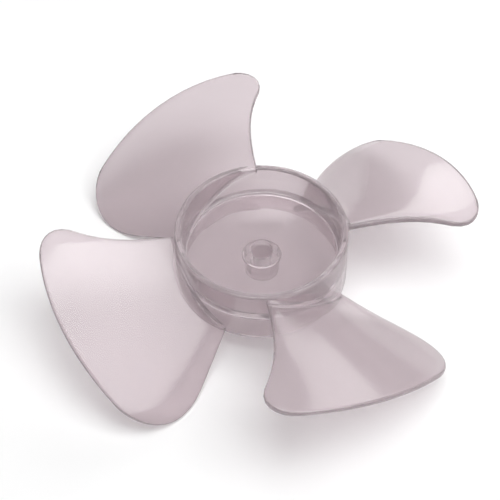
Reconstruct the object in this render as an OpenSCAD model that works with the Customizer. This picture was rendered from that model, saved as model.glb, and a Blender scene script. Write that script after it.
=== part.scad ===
// Furnace impeller: a small axial cooling fan, moulded in one piece of clear plastic.
// An open hub, closed at mid height by a web, carries a bored boss and the pitched blades.
// Lengths are in mm and angles in degrees. The bore's axis is Z, and the part rests on
// the lowest points of its blades at z = 0. Blade angles run counter-clockwise from above.

/* [Hub] */
// Outer diameter of the hub
hub_d = 40; // [30:0.5:60]
// Height of the hub
hub_h = 15; // [10:0.1:30]
// Thickness of the hub's wall
hub_wall = 1.6; // [1:0.1:3]
// Rounding of the hub's two rims
rim_round = 0.5; // [0.2:0.05:0.7]
// Depth from the upper rim to the web
recess_depth = 7.5; // [4:0.1:12]
// Thickness of the web
web_t = 1.5; // [0.8:0.1:3]
// Fillet where the web meets the wall and the boss
web_fillet = 1.2; // [0.3:0.1:2]

/* [Boss] */
// Outer diameter of the boss
boss_d = 8; // [7:0.1:14]
// Bore for the motor's shaft
bore_d = 4.76; // [3:0.01:6]
// Chamfer at both ends of the bore
bore_chamfer = 0.4; // [0.1:0.05:0.8]

/* [Blades] */
// Number of blades
blade_count = 4; // [2:1:6]
// Diameter over the blade tips
tip_d = 101.6; // [80:0.1:140]
// Thickness of a blade, with fully rounded edges
blade_t = 1.4; // [0.8:0.1:2.5]
// Fillet where a blade meets the hub
root_fillet = 0.8; // [0.3:0.1:1.5]

/* [High edge of a blade] */
// Angle of the high edge at the hub
high_angle_root = 3; // [-10:0.1:10]
// Angle of the high edge half way out
high_angle_middle = 3.8; // [-10:0.1:10]
// Angle of the high edge at the tip
high_angle_tip = -4.7; // [-10:0.1:10]
// Depth of the high edge's root below the hub's upper rim
high_inset = 1.4; // [0.5:0.1:5]
// Rise of the high edge from the hub to half way out
high_rise_middle = 1.1; // [-5:0.1:10]
// Rise of the high edge from the hub to the tip
high_rise_tip = 2.4; // [-5:0.1:10]
// Corner between high edge and tip: reach inwards from the tip
high_corner_reach = 8; // [1:0.1:15]
// Corner between high edge and tip: angle along the tip
high_corner_angle = 15; // [1:0.1:25]

/* [Low edge of a blade] */
// Angle of the low edge at the hub
low_angle_root = 65.1; // [40:0.1:85]
// Angle of the low edge half way out
low_angle_middle = 66; // [40:0.1:85]
// Angle of the low edge at the tip
low_angle_tip = 67; // [40:0.1:85]
// Height of the low edge's root above the hub's lower rim
low_inset = 0.9; // [0.5:0.1:5]
// Drop of the low edge from the hub to half way out
low_drop_middle = 5.5; // [-5:0.1:15]
// Drop of the low edge from the hub to the tip
low_drop_tip = 8.5; // [-5:0.1:15]
// Corner between low edge and tip: reach inwards from the tip
low_corner_reach = 17; // [1:0.1:25]
// Corner between low edge and tip: angle along the tip
low_corner_angle = 16.9; // [1:0.1:35]

/* [Bulge of a blade] */
// Rise of the blade's middle above a straight line between its edges, at the hub
bulge_root = 1.2; // [0:0.1:8]
// The same rise half way out
bulge_middle = 2.5; // [0:0.1:8]
// The same rise at the tip
bulge_tip = 6.1; // [0:0.1:8]

/* [Hidden] */
$fn = 96;

hub_r = hub_d / 2;
tip_r = tip_d / 2;
boss_r = boss_d / 2;
bore_r = bore_d / 2;
web_z = hub_h - recess_depth - web_t;
root_r = hub_r - hub_wall / 2;
half_t = blade_t / 2;
overlap = 0.5;

// Where the blade is cut into sections: inside the wall, up the fillet, along the span and
// round the tip. The steps are finest where the outline turns fastest. No section lies on
// the hub's own surface, where its corners would only touch the wall.
span_steps = 14;
fillet_steps = [0.15, 0.5];
tip_steps = [1, 0.5, 0.13, 0.03];
fillet_end_r = hub_r + root_fillet;
stations = concat(
    [root_r],
    [for (k = fillet_steps) hub_r + k * root_fillet],
    [for (i = [0:span_steps - 1])
        fillet_end_r + (tip_r - half_t - fillet_end_r) * sin(90 * i / span_steps)],
    [for (k = tip_steps) tip_r - k * half_t]
);

// Value at s (0 at the hub, 1 at the tip) of a smooth curve through three given values.
function through(root, middle, tip, s) =
    root * (1 - 2 * s) * (1 - s) + middle * 4 * s * (1 - s) + tip * s * (2 * s - 1);

// Quarter of a unit circle: 0 at x = 0, rising to 1 at x = 1.
function quarter(x) = 1 - sqrt(1 - pow(min(max(x, 0), 1), 2));

function share(r) = (r - hub_r) / (tip_r - hub_r);
function high_angle(r) = through(high_angle_root, high_angle_middle, high_angle_tip, share(r));
function low_angle(r) = through(low_angle_root, low_angle_middle, low_angle_tip, share(r));

// Height of the blade's middle surface at radius r and angle a.
function blade_z(r, a) =
    let (
        s = share(r),
        high = hub_h - high_inset + through(0, high_rise_middle, high_rise_tip, s),
        low = low_inset - through(0, low_drop_middle, low_drop_tip, s),
        bulge = through(bulge_root, bulge_middle, bulge_tip, s),
        q = (a - high_angle(r)) / (low_angle(r) - high_angle(r))
    )
    high + (low - high) * q + 4 * bulge * q * (1 - q);

// Both ends of the section at radius r, with the outline's rounded corners taken off.
function start_angle(r) =
    high_angle(r) + high_corner_angle * quarter((r - tip_r + high_corner_reach) / high_corner_reach);
function end_angle(r) =
    low_angle(r) - low_corner_angle * quarter((r - tip_r + low_corner_reach) / low_corner_reach);

// Half the blade's thickness at radius r: rounded off at the tip, flared into the fillet.
function half_thickness(r) =
    half_t * sqrt(1 - pow(1 - min((tip_r - r) / half_t, 1), 2))
    + root_fillet * quarter(1 - (r - hub_r) / root_fillet);

// Distances along a section of the given length, closer together at the rounded ends.
edge_steps = [0, 0.15, 0.5];
chord_steps = 12;
function distances(length, half) = concat(
    [for (k = edge_steps) k * half],
    [for (i = [0:chord_steps]) half + (length - 2 * half) * i / chord_steps],
    [for (k = [0.5, 0.15, 0]) length - k * half]
);

// Point on the section at radius r, at distance d along it, on the upper (side = 1) or
// lower (side = -1) skin.
function skin(r, d, length, side) =
    let (
        half = half_thickness(r),
        to_degrees = 180 / PI / r,
        a = start_angle(r) + d * to_degrees,
        slope = (blade_z(r, a + 0.25) - blade_z(r, a - 0.25)) * to_degrees / 0.5,
        lean = sqrt(1 + slope * slope),
        from_end = min(d, length - d) / half,
        offset = side * half * sqrt(1 - pow(1 - min(max(from_end, 0), 1), 2)),
        angle = a - offset * slope / lean * to_degrees,
        z = blade_z(r, a) + offset / lean
    )
    [r * cos(angle), r * sin(angle), z];

// A section is a closed loop: the upper skin there, the lower skin back.
function section(r) =
    let (
        length = (end_angle(r) - start_angle(r)) * PI / 180 * r,
        ds = distances(length, half_thickness(r)),
        last = len(ds) - 1
    )
    concat(
        [for (i = [0:last]) skin(r, ds[i], length, 1)],
        [for (i = [last - 1:-1:1]) skin(r, ds[i], length, -1)]
    );

sections = [for (r = stations) section(r)];
loop = len(sections[0]);
half_loop = loop / 2;
blade_points = [for (s = sections) each s];
last_section = (len(stations) - 1) * loop;

// Triangles between neighbouring sections, then those that close the two ends.
blade_faces = concat(
    [for (s = [0:len(stations) - 2], i = [0:loop - 1], t = [0, 1])
        let (
            j = (i + 1) % loop,
            a = s * loop + i,
            b = s * loop + j,
            c = a + loop,
            d = b + loop
        )
        t == 0 ? [a, b, c] : [b, d, c]],
    [for (i = [0:half_loop - 1], t = [0, 1])
        each end_cap(i, t, 0, false)],
    [for (i = [0:half_loop - 1], t = [0, 1])
        each end_cap(i, t, last_section, true)]
);

// One triangle across an end, between the skins. At the two rounded ends, where the skins
// share a point, a step has one triangle instead of two.
function end_cap(i, t, start, outer) =
    let (
        a = start + i,
        b = start + i + 1,
        c = start + (loop - i) % loop,
        d = start + (loop - i - 1) % loop,
        tri = t == 0 ? [a, b, d] : [a, d, c]
    )
    (t == 1 && i == 0) || (t == 0 && i == half_loop - 1) ? [] :
    [outer ? tri : [tri[2], tri[1], tri[0]]];

lowest = min([for (p = blade_points) p[2]]);

// Rectangle with rounded corners, its lower left corner at the origin.
module rounded_bar(w, h, r) {
    translate([r, 0]) square([w - 2 * r, h]);
    translate([0, r]) square([w, h - 2 * r]);
    for (x = [r, w - r], y = [r, h - r]) translate([x, y]) circle(r);
}

// Material left in an inside corner by a fillet of radius r; the corner is the origin.
module inside_corner(r) {
    difference() {
        square(r);
        translate([r, r]) circle(r);
    }
}

// Half of the hub's section: wall, web and boss, with fillets between them.
module hub_section() {
    translate([root_r - hub_wall / 2, 0]) rounded_bar(hub_wall, hub_h, rim_round);
    translate([0, web_z]) square([root_r, web_t]);
    square([boss_r, web_z + web_t / 2]);
    translate([hub_r - hub_wall, web_z + web_t]) mirror([1, 0]) inside_corner(web_fillet);
    translate([hub_r - hub_wall, web_z]) mirror([1, 0]) mirror([0, 1]) inside_corner(web_fillet);
    translate([boss_r, web_z]) mirror([0, 1]) inside_corner(web_fillet);
}

module bore() {
    height = web_z + web_t;
    translate([0, 0, -overlap]) cylinder(r = bore_r, h = height + 2 * overlap);
    translate([0, 0, -overlap])
        cylinder(r1 = bore_r + bore_chamfer + overlap, r2 = bore_r, h = bore_chamfer + overlap);
    translate([0, 0, height - bore_chamfer])
        cylinder(r1 = bore_r, r2 = bore_r + bore_chamfer + overlap, h = bore_chamfer + overlap);
}

module hub() {
    difference() {
        rotate_extrude() hub_section();
        bore();
    }
}

module blade() {
    polyhedron(points = blade_points, faces = blade_faces, convexity = 4);
}

// One moulding: hub and blades are a single solid.
module impeller() {
    color([0.78, 0.72, 0.74, 0.6])
    translate([0, 0, -lowest]) {
        hub();
        for (i = [0:blade_count - 1]) rotate([0, 0, i * 360 / blade_count]) blade();
    }
}

impeller();
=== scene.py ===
import math

import bmesh
import bpy
from mathutils import Euler, Matrix, Vector


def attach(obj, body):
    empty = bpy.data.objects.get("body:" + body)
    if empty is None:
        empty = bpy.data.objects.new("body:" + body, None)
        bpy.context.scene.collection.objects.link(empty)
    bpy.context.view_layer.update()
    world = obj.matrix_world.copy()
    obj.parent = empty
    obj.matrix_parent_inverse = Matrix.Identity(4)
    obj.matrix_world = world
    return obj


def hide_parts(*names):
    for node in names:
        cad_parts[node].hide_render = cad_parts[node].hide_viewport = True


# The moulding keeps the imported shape. Here its facets are shaded as the smooth surfaces they
# stand for, and it gets its clear plastic, a floor, lamps and the photograph's camera.
# Lengths are in metres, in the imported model's own frame.

NODE = "impeller"
SLOT = "clear_smoke_plastic"

# Vertices closer than this are one vertex. Edges turned further than the angle stay sharp.
WELD_DISTANCE = 2e-6
SHARP_ANGLE = math.radians(40)

# Camera: it looks down on the middle of the hub's lower rim, then turns a little about its
# own three axes.
HUB_RIM = Vector((0, 0, 0.00533))
CAMERA_ELEVATION = math.radians(52.0)
CAMERA_TURN = (math.radians(0.794), math.radians(0.483), math.radians(-0.38))
CAMERA_DISTANCE = 0.3315
LENS = 100.6
SENSOR = 36.0

FLOOR_SIZE = 4.0
LAMP_DISTANCE = 0.9


def new_object(name, data):
    """Link a new object to the scene."""
    made = bpy.data.objects.new(name, data)
    bpy.context.scene.collection.objects.link(made)
    return made


def new_material(name):
    """A material with its Principled node and its output."""
    material = bpy.data.materials.new(name)
    material.use_nodes = True
    nodes = material.node_tree.nodes
    return material, nodes["Principled BSDF"], nodes["Material Output"]


def add_node(tree, kind, inputs=None, **settings):
    """A shader node with its settings and the plain values of its inputs."""
    node = tree.nodes.new(kind)
    for name, value in settings.items():
        setattr(node, name, value)
    for name, value in (inputs or {}).items():
        node.inputs[name].default_value = value
    return node


# Camera

def make_camera():
    facing = Matrix.Rotation(math.radians(90) - CAMERA_ELEVATION, 4, "X")
    place = Matrix.Translation(HUB_RIM) @ facing @ Matrix.Translation((0, 0, CAMERA_DISTANCE))
    data = bpy.data.cameras.new("camera")
    data.lens = LENS
    data.sensor_width = SENSOR
    data.clip_start = 0.01
    camera = new_object("camera", data)
    camera.matrix_world = place @ Euler(CAMERA_TURN).to_matrix().to_4x4()
    bpy.context.scene.camera = camera


# Moulding

def smooth_copy(node, name):
    """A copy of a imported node, welded and shaded smooth, with its true corners kept sharp."""
    mesh = node.data.copy()
    mesh.materials.clear()
    faceted = mesh.attributes.get("custom_normal")
    if faceted:
        mesh.attributes.remove(faceted)
    work = bmesh.new()
    work.from_mesh(mesh)
    bmesh.ops.remove_doubles(work, verts=work.verts, dist=WELD_DISTANCE)
    for face in work.faces:
        face.smooth = True
    for edge in work.edges:
        edge.smooth = edge.calc_face_angle(0) < SHARP_ANGLE
    work.to_mesh(mesh)
    work.free()
    return new_object(name, mesh)


def clear_plastic():
    material, shader, output = new_material(SLOT)
    tree = material.node_tree
    shader.inputs["Base Color"].default_value = (0.74, 0.665, 0.69, 1)
    shader.inputs["Transmission Weight"].default_value = 0.8
    shader.inputs["Roughness"].default_value = 0.12
    shader.inputs["IOR"].default_value = 1.45
    place = add_node(tree, "ShaderNodeTexCoord")
    ripple = add_node(tree, "ShaderNodeTexNoise", {"Scale": 60.0, "Detail": 2.0})
    bump = add_node(tree, "ShaderNodeBump", {"Strength": 0.1, "Distance": 0.0006})
    tree.links.new(place.outputs["Object"], ripple.inputs["Vector"])
    tree.links.new(ripple.outputs["Fac"], bump.inputs["Height"])
    tree.links.new(bump.outputs["Normal"], shader.inputs["Normal"])
    return material


def make_moulding(node):
    piece = smooth_copy(node, "clear_moulding")
    piece.data.materials.append(clear_plastic())
    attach(piece, "root")
    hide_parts(NODE)


# Surroundings

def make_lamp(name, direction, along, size, radiance):
    """A soft lamp in the given direction from the object, facing it.

    Its long side runs as near to the direction along as it can.
    """
    data = bpy.data.lights.new(name, "AREA")
    data.shape = "RECTANGLE"
    data.size, data.size_y = size
    data.energy = 4 * radiance * size[0] * size[1]
    lamp = new_object(name, data)
    out = Vector(direction).normalized()
    across = out.cross(Vector(along)).normalized()
    facing = Matrix((across.cross(out), across, out)).transposed().to_4x4()
    lamp.matrix_world = Matrix.Translation(HUB_RIM + out * LAMP_DISTANCE) @ facing
    lamp.visible_camera = False


def make_world():
    world = bpy.data.worlds.new("world")
    bpy.context.scene.world = world
    world.use_nodes = True
    tree = world.node_tree
    dim = tree.nodes["Background"]
    dim.inputs["Color"].default_value = (1, 1, 1, 1)
    dim.inputs["Strength"].default_value = 0.25
    white = add_node(tree, "ShaderNodeBackground", {"Color": (1, 1, 1, 1), "Strength": 1.0})
    path = add_node(tree, "ShaderNodeLightPath")
    seen = add_node(tree, "ShaderNodeMath", operation="MAXIMUM")
    mix = add_node(tree, "ShaderNodeMixShader")
    tree.links.new(path.outputs["Is Camera Ray"], seen.inputs[0])
    tree.links.new(path.outputs["Is Transmission Ray"], seen.inputs[1])
    tree.links.new(seen.outputs[0], mix.inputs["Fac"])
    tree.links.new(dim.outputs[0], mix.inputs[1])
    tree.links.new(white.outputs[0], mix.inputs[2])
    tree.links.new(mix.outputs[0], tree.nodes["World Output"].inputs["Surface"])


def make_floor():
    mesh = bpy.data.meshes.new("floor")
    work = bmesh.new()
    bmesh.ops.create_grid(work, x_segments=1, y_segments=1, size=FLOOR_SIZE / 2)
    work.to_mesh(mesh)
    work.free()
    floor = new_object("floor", mesh)
    material, shader, output = new_material("floor")
    shader.inputs["Base Color"].default_value = (0.95, 0.95, 0.95, 1)
    shader.inputs["Roughness"].default_value = 0.9
    shader.inputs["Specular IOR Level"].default_value = 0.2
    mesh.materials.append(material)


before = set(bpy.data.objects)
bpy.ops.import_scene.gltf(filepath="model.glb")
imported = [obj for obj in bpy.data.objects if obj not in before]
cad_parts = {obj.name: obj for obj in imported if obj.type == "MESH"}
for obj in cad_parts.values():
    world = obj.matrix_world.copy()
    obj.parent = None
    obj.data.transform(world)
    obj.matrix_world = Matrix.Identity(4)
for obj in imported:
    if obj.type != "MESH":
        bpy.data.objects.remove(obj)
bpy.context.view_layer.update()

bpy.context.scene.view_settings.view_transform = "Standard"
make_camera()
make_moulding(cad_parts[NODE])
make_world()
make_floor()
make_lamp("overhead", (0.29, -0.05, 0.955), (0.92, -0.39, 0), (1.04, 0.66), 3.1)
make_lamp("back", (0.184, 0.864, 0.469), (1, -0.2, 0), (0.65, 0.32), 2.0)
